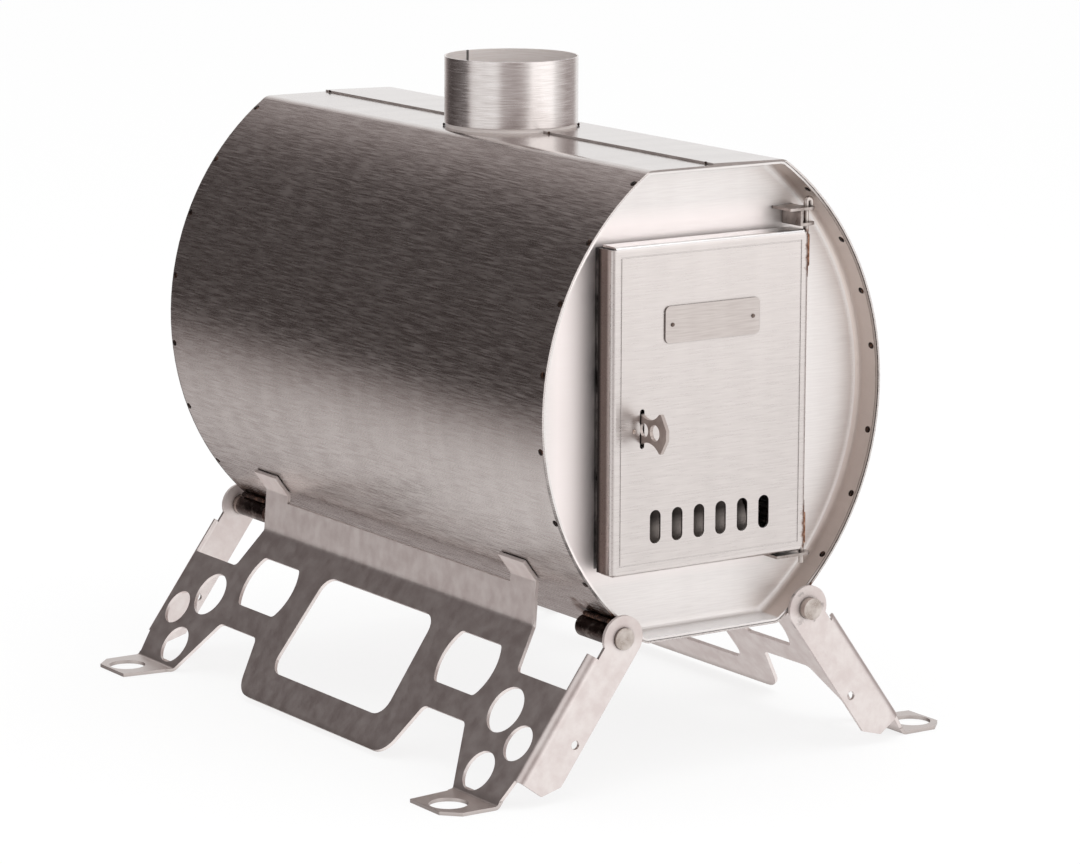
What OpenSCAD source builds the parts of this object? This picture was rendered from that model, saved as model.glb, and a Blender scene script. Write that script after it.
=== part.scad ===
// Tent wood stove: a sheet-steel firebox with flat top and bottom, dished end plates, a flue collar,
// a side-hung door with a rocking catch, and two folding legs with carry windows.
// Millimetres, +Z up, door towards -Y, floor at z = 0.

/* [Body] */
// Length of the shell, from rim to rim
body_l = 400; // [320:10:480]
// Width across the two curved sides
body_w = 224; // [200:1:250]
// Height between the flat top and the flat bottom
body_h = 256; // [220:1:280]
// Width of the flat top and bottom, up to where they would meet the curved sides
flat_w = 88.8; // [84:0.2:94]
// Outer radius of the four bends between flats and sides
body_bend = 8; // [7.5:0.5:10]
// Thickness of the shell sheet
sheet = 1; // [0.8:0.1:1.2]
// Distance of the lap seam from the middle of the top
seam_x = 3; // [0:0.5:6]

/* [End plates] */
// Thickness of the end plates
plate_t = 1.2; // [1:0.1:1.5]
// Depth of the plates' faces behind the rims
plate_recess = 17; // [15:0.5:22]
// Inner radius of the bend between a plate and its flange
plate_bend = 4.5; // [3:0.5:4.5]
// Distance of a flange's edge behind the rim
flange_set = 0.5; // [0.2:0.1:2]

/* [Door] */
// Distance of the door's edges from the widest line of the body
door_side = 47; // [46:0.5:52]
// Room between the hinge brackets and the front plate's flange
hinge_room = 5.25; // [5:0.25:9]
// Sideways place of the door's middle
door_x = -4; // [-5:0.5:-2]
// Thickness of the door sheet
door_t = 1.2; // [1:0.1:1.5]
// Depth of the door's folded edges
door_d = 13; // [12:0.5:14]
// Distance of the door's face ahead of the rim
door_proud = 1.5; // [1:0.5:4]
// Outer radius of the door's folded edges
door_bend = 3; // [2:0.5:4]
// Distance of the pressed line from the door's edges
line_in = 5.5; // [4.5:0.5:8]
// Number of air slots
slot_count = 6; // [3:1:7]
// Distance between the air slots' middles
slot_pitch = 14.4; // [12:0.2:15]
// Width of an air slot
slot_w = 7; // [5:0.5:9]
// Length of an air slot
slot_l = 18.3; // [14:0.1:22]
// Height of the slots' middles above the door's lower edge
slot_rise = 25.2; // [24:0.2:28]
// Corner radius of the door opening
opening_r = 8; // [5:1:12]

/* [Hinge] */
// Diameter of the hinge rods
rod_d = 3; // [2.5:0.1:3.5]
// Depth of the hinge axis behind the door's face
hinge_back = 6; // [5:0.5:7]
// Thickness of the hinge brackets
lug_t = 1.5; // [1:0.1:2]
// Radius of the brackets' rounded ends
lug_r = 4.5; // [3.5:0.5:5]
// Length of a rod's welded stretch beside the door
rod_hold = 27; // [20:1:40]

/* [Latch] */
// Distance of the latch from the door's free edge
latch_in = 20; // [18:0.5:24]
// Depth of the latch's middle below the door's middle
latch_drop = 9.7; // [5:0.1:20]
// Thickness of the latch plate
latch_t = 2; // [1.5:0.1:2.2]
// Height of the latch's neck in its slot
neck_h = 15; // [12:0.5:17]
// Height of the grip at its tips
grip_h = 21.2; // [19:0.2:24]
// Reach of the grip ahead of the door
grip_reach = 23.3; // [22:0.1:26]
// Diameter of the grip's outer hole
grip_hole_d = 8.8; // [7:0.2:9]
// Width of the slot that the latch rocks in
latch_slot_w = 2.8; // [2.6:0.1:3.4]
// Length of that slot
latch_slot_l = 21.4; // [19:0.2:26]

/* [Blank plate] */
// Width of the blank plate on the door
tag_w = 62; // [50:1:70]
// Height of the blank plate
tag_h = 20; // [16:1:26]
// Thickness of the blank plate
tag_t = 1; // [0.6:0.1:1.5]
// Distance of its middle below the door's upper edge
tag_drop = 44; // [34:1:51]

/* [Flue collar] */
// Outer diameter of the collar
flue_d = 76.2; // [60:0.1:80]
// Wall of the collar
flue_t = 0.8; // [0.6:0.1:1.2]
// Height of the collar above the flat top
flue_h = 40; // [25:1:70]

/* [Legs] */
// Thickness of the leg sheet
leg_t = 2; // [1.5:0.1:2]
// Lean of the leg plates away from upright, in degrees
leg_tilt = 36; // [34:0.5:37]
// Length of a leg plate, from the pivot's level down to the floor
leg_len = 114; // [112:1:125]
// Radius of the pivot eyes
eye_r = 12.5; // [11.5:0.5:13]
// Height of the pivots above the flat bottom
pivot_rise = 6.5; // [6:0.5:9]
// Diameter of the pivot pins
pin_d = 12; // [10:0.5:12]
// Length of a pivot pin along the shell
pin_hold = 32; // [20:1:45]
// Distance that a pin stands out past the outer eye
pin_end = 1.6; // [1:0.2:6]
// Gap between a rim and the inner eye
eye_gap = 0.6; // [0.5:0.1:2]
// Gap between the right leg's arms and the left leg's, which fold outside them
nest_gap = 0.8; // [0.5:0.1:2]
// Outer radius of the bends between leg plate and arms
arm_bend = 5; // [4:0.5:6]
// Diameter of the holes in the feet
foot_hole_d = 21.4; // [12:0.2:22]
// Distance that a foot reaches out from its bend
foot_reach = 30.5; // [26:0.5:31]

/* [Hidden] */
$fn = 96;

// Overrun of every cut past the faces that it opens
over = 1;
// Seat gap between sheets that are welded together
seat = 0.15;
// Gap between faces that move past each other
run = 0.3;
// Radial clearance of a pin in its hole
pin_fit = 0.08;
// Steps in each rounded corner of an outline
arc_steps = 6;

// Body: the radius of the curved sides, whose centres lie this far beyond the middle
half_l = body_l / 2;
half_h = body_h / 2;
side_r = (pow((body_w - flat_w) / 2, 2) + pow(half_h, 2)) / (body_w - flat_w);
shift = side_r - body_w / 2;
flue_r = flue_d / 2;
// Ledge of the top sheet inside the collar
flue_ledge = 1;
// The collar's foot is drawn in, up to above the lap and the tack welds
flue_foot = 2.4;
flue_step = 0.6;
tack_r = 0.7;
tack_l = 3;
tack_angles = [148, -36];
tack_set = 6;

// End plates, measured from the middle of the body
inset = sheet + seat;
plate_face = half_l - plate_recess;
plate_back = plate_face - plate_t;
flange_l = half_l - flange_set - plate_back;

// Door
door_face = half_l + door_proud;
door_inner = door_face - door_t;
door_w = body_w - 2 * door_side;
door_left = door_x - door_w / 2;
door_right = door_x + door_w / 2;
line_w = 0.8;
line_depth = 0.3;
// Hinge axis beside the door's folded edge
hinge_x = door_right + rod_d / 2 + seat / 2;
hinge_y = door_face - hinge_back;
// The door is as high as the brackets above and below it leave free
bracket_gap = 1.6;
bracket_h = 8.4;
flange_r = side_r - inset - plate_t;
corner_z = min(half_h - inset - plate_t, sqrt(pow(flange_r, 2) - pow(hinge_x + lug_r + shift, 2)));
door_h = 2 * (corner_z - hinge_room - lug_t - bracket_h - bracket_gap);
slot_z = slot_rise - door_h / 2;
// Room for the folded edge to swing past the opening's lip
swing_r = norm([hinge_x - door_right + door_t, door_d - hinge_back]);
lip_gap = 1.5;
lip_t = 1.2;
// Gap between the lip's edge and the inside of the door
lip_free = 1.3;
open_x0 = door_left + door_t + lip_gap + lip_t;
open_x1 = hinge_x - swing_r - lip_gap - lip_t;
open_w = open_x1 - open_x0;
open_x = (open_x0 + open_x1) / 2;
open_h = door_h - 2 * (door_t + lip_gap + lip_t);

// Hinge brackets and rods
bracket_low = door_h / 2 + bracket_gap;
bracket_top = bracket_low + bracket_h;
bracket_web = 7;
bracket_left = 14;
lower_left = 20;
rod_turn = 1.6;
rod_rise = 2.5;
rod_tail = 5;
rod_bead_r = 1;
rod_bead_l = 16;
rod_bead_set = 4;

// Latch
latch_x = door_left + latch_in;
latch_z = -latch_drop;
tongue_back = 10;
tongue_bend = 2;
tongue_gap = 0.7;
tongue_tip = open_x0 + tongue_gap;
neck_hole_d = 7.6;
neck_hole_out = 3;
grip_tip = 5;
grip_flat = 5.6;
waist_r = 13;
waist_h = 6.2;
waist_out = 7;
grip_hole_out = 12.8;
// Leaf spring beside the latch
leaf_t = 0.6;
leaf_h = 10;
leaf_foot = 9;
leaf_x = 11;
leaf_back = 7;
leaf_free = 2;

// Blank plate
tag_z = door_h / 2 - tag_drop;
tag_r = 3;
rivet_r = 1.1;
rivet_in = 4.5;

// Air deflector behind the slots
shield_t = 0.8;
shield_back = 9;
shield_foot = 6.5;
shield_over = 9;
shield_r = 25;
shield_left = 12;
shield_right = 31.5;

// Pivots: each pin lies on the outside of the shell
pin_r = pin_d / 2;
pivot_z = pivot_rise - half_h;
pivot_x = sqrt(pow(side_r + pin_r + seat, 2) - pow(pivot_z, 2)) - shift;
right_half = half_l + eye_gap + leg_t;
left_half = right_half + nest_gap + leg_t;
pin_reach = left_half + pin_end;
pin_weld_r = 1.6;
pin_weld_l = 24;
pin_weld_set = 4;

// Legs: distances down from the pivot's level, and in from the body's ends
flange_top = 13;
flange_in = 55;
notch_in = 47.5;
notch_top = 39.5;
notch_r = 4;
arm_top = 17;
arm_l = 95;
arm_cut = [8, 10];
arm_hole_d = 5;
arm_hole = [-7, 62];
belly_in = 66;
belly_top = 75.5;
belly_r = 5;
loop_in = 108;
loop_low_in = 120;
loop_low = 109.5;
loop_r = 15;
foot_in = 44;
foot_set = 2.4;
foot_slope = 4;
window_top = 26.5;
window_low = 90.5;
window_top_in = 141;
window_low_in = 138;
window_r = 10;
big_in = 91.8;
big_z = 44.7;
big_r = 25.4;
big_half = 16;
big_bend = 4;
small_holes = [[38.9, 61.3, 13.7], [13.8, 75.8, 10.6], [32.6, 97.5, 11.8]];
foot_chamfer = 9;
foot_hole_in = 21.5;
foot_hole_x = 18;
bend_r = 2;
flange_lean = 4;
tab_angle = 37;
tab_l = 14;
tab_w = 25;
flange_step = 5;

// Places along the leg's section, in the body's frame
plate_dir = [sin(leg_tilt), -cos(leg_tilt)];
plate_out = [cos(leg_tilt), sin(leg_tilt)];
pivot = [pivot_x, pivot_z];
plate_zero = pivot + eye_r * plate_out;
leg_bend = plate_zero + flange_top * plate_dir;
flange_dir = [-sin(flange_lean), cos(flange_lean)];
tab_dir = [sin(tab_angle), cos(tab_angle)];
tab_out = [cos(tab_angle), -sin(tab_angle)];
// The tab's inner face lies on the shell, so its outer face meets the flange here
flange_rise = (side_r + run + leg_t - (leg_bend + [shift, 0]) * tab_out) / (flange_dir * tab_out);
tab_bend = leg_bend + flange_rise * flange_dir;
tab_end = tab_bend + tab_l * tab_dir;
floor_z = plate_zero.y - leg_len * cos(leg_tilt);
foot_bend = plate_zero + (plate_zero.y - floor_z - leg_t) / cos(leg_tilt) * plate_dir;
foot_end = foot_bend + [foot_reach, 0];

// The finished stove stands on z = 0 with its outline centred on Y
lift = -floor_z;
centre_y = (door_face + grip_reach - pin_reach) / 2;

shell_grey = "#8d8784";
plate_grey = "#e4dfdd";
leg_grey = "#6a625f";
weld_brown = "#4a3b36";
pin_grey = "#b5aca7";

// Outline helpers

function unit(v) = v / norm(v);

function arc_points(c, r, from, to) =
    [for (i = [0:arc_steps]) let (a = from + (to - from) * i / arc_steps) c + r * [cos(a), sin(a)]];

// Arc that rounds the corner b between the points a and c
function corner_arc(a, b, c, r) =
    let (u = unit(a - b), v = unit(c - b), half = acos(u * v) / 2,
         m = b + unit(u + v) * r / sin(half),
         p = b + u * r / tan(half) - m,
         q = b + v * r / tan(half) - m,
         from = atan2(p.y, p.x),
         turn = (atan2(q.y, q.x) - from + 540) % 360 - 180)
    arc_points(m, r, from, from + turn);

// Closed outline with a radius for each corner
function rounded(pts, radii) =
    let (n = len(pts))
    [for (i = [0:n - 1]) each (radii[i] > 0
        ? corner_arc(pts[(i + n - 1) % n], pts[i], pts[(i + 1) % n], radii[i]) : [pts[i]])];

// Points given by their distances in from the end of the body
function from_end(pts) = [for (p = pts) [half_l - p.x, p.y]];

// One half of an outline, mirrored to the whole
function both_sides(pts) =
    concat(pts, [for (i = [len(pts) - 1:-1:0]) [-pts[i].x, pts[i].y]]);
function twice(radii) = concat(radii, [for (i = [len(radii) - 1:-1:0]) radii[i]]);

// Where the bend of a flattened outline has its centre, and the angle at which it meets the side
function bend_centre(r, s, h, b) = [sqrt(pow(r - b, 2) - pow(h - b, 2)) - s, h - b];
function bend_angle(r, s, h, b) = let (c = bend_centre(r, s, h, b)) atan2(c.y, c.x + s);

// Two arcs of radius r, centres moved s past the middle, two flats at h and four bends of radius b
module flat_round(r, s, h, b) {
    c = bend_centre(r, s, h, b);
    a = bend_angle(r, s, h, b);
    tip = [r * cos(a) - s, r * sin(a)];
    difference() {
        intersection() {
            translate([-s, 0]) circle(r);
            translate([s, 0]) circle(r);
            square([2 * r, 2 * h], center = true);
        }
        for (mx = [0, 1], my = [0, 1])
            mirror([mx, 0]) mirror([0, my])
                polygon([[c.x, h], tip, tip + [over, 0], [tip.x + over, h + over], [c.x, h + over]]);
    }
    for (mx = [-1, 1], my = [-1, 1])
        translate([mx * c.x, my * c.y]) circle(b);
}

// The same outline drawn in by a distance
module body_outline(in) {
    flat_round(side_r - in, shift, half_h - in, body_bend - in);
}

// Solid block under the outline drawn in by a distance, with its lower edge rounded by r
module round_edged(in, r, h) {
    hull() for (i = [0:arc_steps]) let (a = 90 * i / arc_steps)
        translate([0, 0, r * (1 - sin(a))]) linear_extrude(h - r * (1 - sin(a)))
            body_outline(in + r * (1 - cos(a)));
}

module round_rect(w, h, r) {
    square([w - 2 * r, h], center = true);
    square([w, h - 2 * r], center = true);
    for (x = [-1, 1], y = [-1, 1])
        translate([x * (w / 2 - r), y * (h / 2 - r)]) circle(r);
}

// Upright slot with round ends
module obround(w, l) {
    square([w, l - w], center = true);
    for (y = [-1, 1]) translate([0, y * (l - w) / 2]) circle(w / 2);
}

// Puts the body's frame, centred on its axis, onto the floor
module place() {
    translate([0, centre_y, lift]) children();
}

// Stands a drawing up: its y becomes height and its z points to the door
module stand() {
    place() rotate([90, 0, 0]) children();
}

// Body

// Rise of the top sheet where one edge of it lies over the other
function lap_rise(x) =
    let (w = bend_centre(side_r, shift, half_h, body_bend).x)
    x < -seam_x ? 0 : sheet * (w - x) / (w + seam_x);

// The upper edge of the lap seam, which settles onto the flat beside the bend
module lap() {
    w = bend_centre(side_r, shift, half_h, body_bend).x;
    stand() linear_extrude(body_l, center = true)
        polygon([[-seam_x, half_h - sheet / 2], [-seam_x, half_h + sheet],
                 [w, half_h], [w, half_h - sheet / 2]]);
}

module body_shell() {
    color(shell_grey) difference() {
        union() {
            stand() linear_extrude(body_l, center = true) difference() {
                body_outline(0);
                body_outline(sheet);
            }
            lap();
        }
        place() translate([0, 0, half_h - sheet - over])
            cylinder(r = flue_r - flue_step - flue_t - flue_ledge, h = 2 * sheet + 2 * over);
    }
}

// Dished end plate, lying on its back: a flat sheet with a rounded edge and a flange
module dish() {
    difference() {
        round_edged(inset, plate_bend + plate_t, flange_l);
        translate([0, 0, plate_t]) round_edged(inset + plate_t, plate_bend, flange_l);
    }
}

module front_plate() {
    lip = door_inner - lip_free - plate_back;
    color(plate_grey) stand() translate([0, 0, plate_back]) difference() {
        union() {
            dish();
            translate([open_x, 0, 0]) linear_extrude(lip)
                round_rect(open_w + 2 * lip_t, open_h + 2 * lip_t, opening_r + lip_t);
        }
        translate([open_x, 0, -over]) linear_extrude(lip + 2 * over)
            round_rect(open_w, open_h, opening_r);
    }
}

module rear_plate() {
    color(plate_grey) stand() mirror([0, 0, 1]) translate([0, 0, plate_back]) dish();
}

module flue_collar() {
    color(shell_grey) difference() {
        place() translate([0, 0, half_h]) difference() {
            union() {
                cylinder(r = flue_r - flue_step, h = flue_h);
                translate([0, 0, flue_foot]) cylinder(r = flue_r, h = flue_h - flue_foot);
            }
            translate([0, 0, -over]) cylinder(r = flue_r - flue_step - flue_t, h = flue_h + 2 * over);
            translate([0, 0, flue_foot + flue_t]) cylinder(r = flue_r - flue_t, h = flue_h);
        }
        lap();
    }
}

// Weld bead with round ends, lying along Y about the middle
module bead(r, l) {
    rotate([90, 0, 0]) cylinder(r = r, h = l, center = true);
    for (y = [-1, 1]) translate([0, y * l / 2, 0]) sphere(r);
}

// Two tack welds at the foot of the collar
module collar_welds() {
    out = norm([flue_r - flue_step + tack_r + seat / 2, tack_l / 2]);
    color(weld_brown) place() for (a = tack_angles)
        translate([out * cos(a), out * sin(a), half_h + tack_r + seat / 2 + lap_rise(out * cos(a))])
            rotate([0, 0, a]) bead(tack_r, tack_l);
}

// Tack welds along the lap seam
module seam_welds() {
    color(weld_brown) place()
        for (y = [-1, 1], d = [flue_r + tack_set, half_l - tack_set])
            translate([-seam_x - tack_r - seat / 2, y * d, half_h + tack_r + seat / 2]) sphere(tack_r);
}

// Pivot pins

// side is -1 for left and 1 for right, end is -1 for the door's end and 1 for the far end
module pivot_pin(side, end) {
    length = pin_reach - half_l + pin_hold;
    color(pin_grey) place() translate([side * pivot_x, end * (pin_reach - length / 2), pivot_z])
        rotate([90, 0, 0]) cylinder(r = pin_r, h = length, center = true);
}

// Weld beads in the two crevices between each pin and the shell
module pin_welds() {
    far = side_r + seat + pin_weld_r;
    near = pin_r + seat + pin_weld_r;
    span = norm([pivot_x + shift, pivot_z]);
    open = acos((far * far + span * span - near * near) / (2 * far * span));
    slope = atan2(pivot_z, pivot_x + shift);
    color(weld_brown) place()
        for (mx = [0, 1], my = [0, 1], way = [-1, 1]) {
            a = slope + way * open;
            mirror([mx, 0, 0]) mirror([0, my, 0])
                translate([far * cos(a) - shift, half_l - pin_weld_set - pin_weld_l / 2, far * sin(a)])
                    bead(pin_weld_r, pin_weld_l);
        }
}

// Legs

// Section of the bent sheet from the tab over the flange and the plate to the foot
module leg_section() {
    path = [tab_end, tab_bend, leg_bend, foot_bend, foot_end];
    away = [for (i = [0:len(path) - 2]) let (d = unit(path[i + 1] - path[i])) [d.y, -d.x]];
    inner = [for (i = [0:len(path) - 1])
        let (a = away[max(i - 1, 0)], b = away[min(i, len(away) - 1)])
        path[i] + leg_t * (a + b) / (1 + a * b)];
    radii = [0, bend_r, bend_r + leg_t, bend_r, 0];
    inner_radii = [0, bend_r + leg_t, bend_r, bend_r + leg_t, 0];
    count = len(path) - 1;
    polygon(rounded(concat(path, [for (i = [count:-1:0]) inner[i]]),
                    concat(radii, [for (i = [count:-1:0]) inner_radii[i]])));
}

// Outline of the leg plate, x along the body and y down from the pivot, up to the bends at half
module plate_outline(half) {
    past = half_l - half;
    outline = [[flange_in, 0], [flange_in, flange_top], [notch_in, notch_top], [past, notch_top],
               [past, arm_l], [past + foot_slope, leg_len], [foot_in, leg_len],
               [belly_in, belly_top], [loop_in, belly_top], [loop_low_in, loop_low]];
    radii = [0, 0, notch_r, 0, 0, 0, 0, belly_r, belly_r, loop_r];
    window = [[window_top_in, window_top], [window_low_in, window_low]];
    difference() {
        polygon(rounded(both_sides(from_end(outline)), twice(radii)));
        polygon(rounded(both_sides(from_end(window)), twice([window_r, window_r])));
        for (side = [-1, 1]) {
            translate([side * (half_l - big_in), big_z]) flat_round(big_r, 0, big_half, big_bend);
            for (h = small_holes) translate([side * (half_l - h[0]), h[1]]) circle(h[2]);
        }
    }
}

// Arm beside an end of the body, drawn with x out of the plate's face and y up along the plate
module arm_outline() {
    difference() {
        union() {
            circle(eye_r);
            polygon([[-eye_r, 0], [eye_r - arm_bend, 0], [eye_r - arm_bend, -arm_l],
                     [-eye_r + arm_cut.x, -arm_l], [-eye_r, -arm_l + arm_cut.y]]);
        }
        circle(pin_r + pin_fit);
        translate([arm_hole.x, -arm_hole.y]) circle(arm_hole_d / 2);
    }
}

// Outlines of the two feet, seen from above
module feet_outline(half) {
    far = foot_end.x;
    near = foot_bend.x - leg_t - bend_r;
    out = half - foot_set;
    for (side = [-1, 1]) scale([1, side])
        polygon([[near, half_l - foot_in], [far, half_l - foot_in + foot_slope], [far, out - foot_chamfer],
                 [far - foot_chamfer, out], [near, out]]);
}

// The right leg in the body's frame, with its outer faces at reach from the middle
module leg(reach) {
    half = reach - arm_bend;
    flange_half = half_l - flange_in;
    difference() {
        intersection() {
            rotate([90, 0, 0]) linear_extrude(2 * half, center = true) leg_section();
            union() {
                // Plate
                translate([pivot.x, 0, pivot.y]) rotate([0, 90 - leg_tilt, 0]) rotate([0, 0, -90])
                    linear_extrude(4 * eye_r, center = true) plate_outline(half);
                // Flange with its tabs
                translate([leg_bend.x - eye_r, -flange_half, leg_bend.y])
                    cube([2 * eye_r, 2 * flange_half, flange_rise - flange_step]);
                for (y = [-flange_half, flange_half - tab_w])
                    translate([leg_bend.x - eye_r, y, leg_bend.y])
                        cube([2 * eye_r + tab_l, tab_w, flange_rise + tab_l]);
                // Feet
                translate([0, 0, floor_z - over]) linear_extrude(leg_t + bend_r + over)
                    feet_outline(half);
            }
        }
        for (side = [-1, 1])
            translate([foot_bend.x + foot_hole_x, side * (half_l - foot_hole_in), floor_z - over])
                cylinder(r = foot_hole_d / 2, h = leg_t + 2 * over);
    }
    // Arms, and the bends that carry them
    for (side = [0, 1])
        mirror([0, side, 0]) translate([pivot.x, 0, pivot.y]) rotate([0, -leg_tilt, 0]) {
            translate([0, leg_t - reach, 0]) rotate([90, 0, 0]) linear_extrude(leg_t) arm_outline();
            translate([eye_r - arm_bend, -half, -arm_l]) difference() {
                intersection() {
                    cylinder(r = arm_bend, h = arm_l - arm_top);
                    translate([0, -arm_bend, 0]) cube([arm_bend, arm_bend, arm_l - arm_top]);
                }
                translate([0, 0, -over]) cylinder(r = arm_bend - leg_t, h = arm_l + 2 * over);
            }
        }
}

module right_leg() {
    color(leg_grey) place() leg(right_half);
}

module left_leg() {
    color(leg_grey) place() mirror([1, 0, 0]) leg(left_half);
}

// Hinge brackets on the front plate

// Flat lug from the plate to the hinge axis, drawn from above
module lug(left) {
    back = plate_face;
    difference() {
        union() {
            translate([hinge_x - left, -hinge_y - lug_r]) square([left, hinge_y + lug_r - back]);
            translate([hinge_x, -hinge_y]) circle(lug_r);
        }
        translate([hinge_x, -hinge_y]) circle(rod_d / 2 + pin_fit);
    }
}

module upper_bracket() {
    color(pin_grey) place() {
        translate([0, 0, bracket_top]) linear_extrude(lug_t) lug(bracket_left);
        translate([0, 0, bracket_low]) linear_extrude(lug_t) lug(bracket_web);
        translate([hinge_x - bracket_web, -hinge_y - lug_r, bracket_low])
            cube([lug_t, hinge_y + lug_r - plate_face, bracket_h + lug_t / 2]);
    }
}

module lower_bracket() {
    color(pin_grey) place() translate([0, 0, -bracket_low - lug_t]) linear_extrude(lug_t) lug(lower_left);
}

// Door

// Folded edge of a given length along the drawing's y, with its outer face at x = 0
module folded_edge(length) {
    translate([0, length / 2, 0]) rotate([90, 0, 0]) linear_extrude(length) {
        translate([0, door_face - door_d]) square([door_t, door_d - door_bend]);
        translate([door_bend, door_face - door_bend]) intersection() {
            difference() {
                circle(door_bend);
                circle(door_bend - door_t);
            }
            translate([-door_bend, 0]) square(door_bend);
        }
    }
}

module door_panel() {
    w = door_w - 2 * door_bend;
    h = door_h - 2 * door_bend;
    color(plate_grey) stand() translate([door_x, 0, 0]) difference() {
        union() {
            translate([0, 0, door_inner]) linear_extrude(door_t) square([w, h], center = true);
            for (m = [0, 1]) {
                mirror([m, 0, 0]) translate([-door_w / 2, 0, 0]) folded_edge(door_h - door_bend);
                mirror([0, m, 0]) translate([0, -door_h / 2, 0]) rotate([0, 0, 90]) folded_edge(w);
            }
        }
        // Pressed line inside the edges
        translate([0, 0, door_face - line_depth]) linear_extrude(over) difference() {
            square([door_w - 2 * line_in, door_h - 2 * line_in], center = true);
            square([door_w - 2 * line_in - 2 * line_w, door_h - 2 * line_in - 2 * line_w], center = true);
        }
        for (i = [0:slot_count - 1])
            translate([(i - (slot_count - 1) / 2) * slot_pitch, slot_z, door_inner - over])
                linear_extrude(door_t + 2 * over) obround(slot_w, slot_l);
        translate([latch_x - door_x, latch_z, door_inner - over])
            linear_extrude(door_t + 2 * over) obround(latch_slot_w, latch_slot_l);
    }
}

// Upper rod, with its end turned over above the bracket
module upper_rod() {
    top = bracket_top + lug_t + rod_rise;
    length = top - door_h / 2 + rod_hold;
    color(pin_grey) place() translate([hinge_x, -hinge_y, top]) {
        translate([0, 0, -length]) cylinder(r = rod_d / 2, h = length);
        translate([rod_turn, 0, 0]) rotate([90, 0, 0])
            rotate_extrude(angle = 180) translate([rod_turn, 0]) circle(rod_d / 2);
        translate([2 * rod_turn, 0, run - rod_rise]) cylinder(r = rod_d / 2, h = rod_rise - run);
    }
}

module lower_rod() {
    low = -bracket_low - lug_t - rod_tail;
    color(pin_grey) place() translate([hinge_x, -hinge_y, low])
        cylinder(r = rod_d / 2, h = rod_hold - door_h / 2 - low);
}

// Weld beads between the rods and the door's folded edge
module rod_welds() {
    off = rod_bead_r + seat / 2;
    side = hinge_x - door_right - off;
    gap = sqrt(pow(rod_d / 2 + off, 2) - side * side);
    color(weld_brown) place() for (z = [-1, 1])
        translate([door_right + off, -hinge_y - gap, z * (door_h / 2 - rod_bead_set - rod_bead_l / 2)])
            rotate([90, 0, 0]) bead(rod_bead_r, rod_bead_l);
}

module blank_plate() {
    color(pin_grey) stand() translate([door_x, tag_z, door_face])
        linear_extrude(tag_t) round_rect(tag_w, tag_h, tag_r);
}

// Two small domed heads that hold the blank plate
module plate_rivets() {
    color(pin_grey) stand() for (x = [-1, 1])
        translate([door_x + x * (tag_w / 2 - rivet_in), tag_z, door_face + tag_t]) intersection() {
            sphere(rivet_r);
            translate([-rivet_r, -rivet_r, 0]) cube(2 * rivet_r);
        }
}

// Bent plate behind the air slots, open at its top
module air_deflector() {
    low = slot_z - slot_l / 2 - shield_over / 2;
    high = slot_z + slot_l / 2 + shield_over;
    left = door_left + shield_left;
    right = door_x + shield_right;
    color(shell_grey) stand() {
        translate([0, 0, door_inner - shield_back]) linear_extrude(shield_t) difference() {
            translate([left, low]) square([right - left, high - low]);
            translate([right - shield_r, high - shield_r]) difference() {
                square(shield_r + over);
                circle(shield_r);
            }
        }
        translate([left, low, door_inner - shield_back]) cube([right - left, shield_t, shield_back]);
        translate([left, low - shield_foot, door_inner - shield_t])
            cube([right - left, shield_foot + shield_t, shield_t]);
    }
}

// Latch

// Grip seen from the side: x out of the door's face, y up
module grip_outline() {
    difference() {
        polygon([[0, grip_h / 2], [grip_reach - grip_tip, grip_h / 2], [grip_reach, grip_flat / 2],
                 [grip_reach, -grip_flat / 2], [grip_reach - grip_tip, -grip_h / 2], [0, -grip_h / 2]]);
        for (side = [-1, 1]) translate([waist_out, side * (waist_h + waist_r)]) circle(waist_r);
        translate([grip_hole_out, 0]) circle(grip_hole_d / 2);
        translate([neck_hole_out, 0]) circle(neck_hole_d / 2);
    }
}

module latch_handle() {
    back = door_inner - tongue_back;
    color(leg_grey) place() translate([0, -door_face, latch_z]) {
        translate([latch_x, 0, 0]) rotate([0, 0, -90]) rotate([90, 0, 0])
            linear_extrude(latch_t, center = true) {
                grip_outline();
                difference() {
                    translate([-door_t - tongue_back + tongue_bend + latch_t, -neck_h / 2])
                        square([door_t + tongue_back - tongue_bend - latch_t + over, neck_h]);
                    translate([neck_hole_out, 0]) circle(neck_hole_d / 2);
                }
            }
        translate([0, door_face, -neck_h / 2]) linear_extrude(neck_h) {
            translate([latch_x + latch_t / 2 - tongue_bend - latch_t, -back - tongue_bend - latch_t])
                intersection() {
                    difference() {
                        circle(tongue_bend + latch_t);
                        circle(tongue_bend);
                    }
                    square(tongue_bend + latch_t);
                }
            translate([tongue_tip, -back - latch_t])
                square([latch_x + latch_t / 2 - tongue_bend - latch_t - tongue_tip, latch_t]);
        }
    }
}

// Leaf that pushes the latch back, drawn from above at the end of its travel
module latch_spring() {
    foot_x = latch_x + leaf_x;
    free_x = latch_x + latch_t / 2 + leaf_free;
    root = -door_inner;
    color(pin_grey) place() translate([0, 0, latch_z - leaf_h / 2]) linear_extrude(leaf_h)
        polygon([[foot_x + leaf_foot, root], [foot_x, root], [free_x, root + leaf_back],
                 [free_x, root + leaf_back + leaf_free], [free_x + leaf_t, root + leaf_back + leaf_free],
                 [free_x + leaf_t, root + leaf_back + leaf_t / 2], [foot_x + leaf_t / 2, root + leaf_t],
                 [foot_x + leaf_foot, root + leaf_t]]);
}

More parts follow.
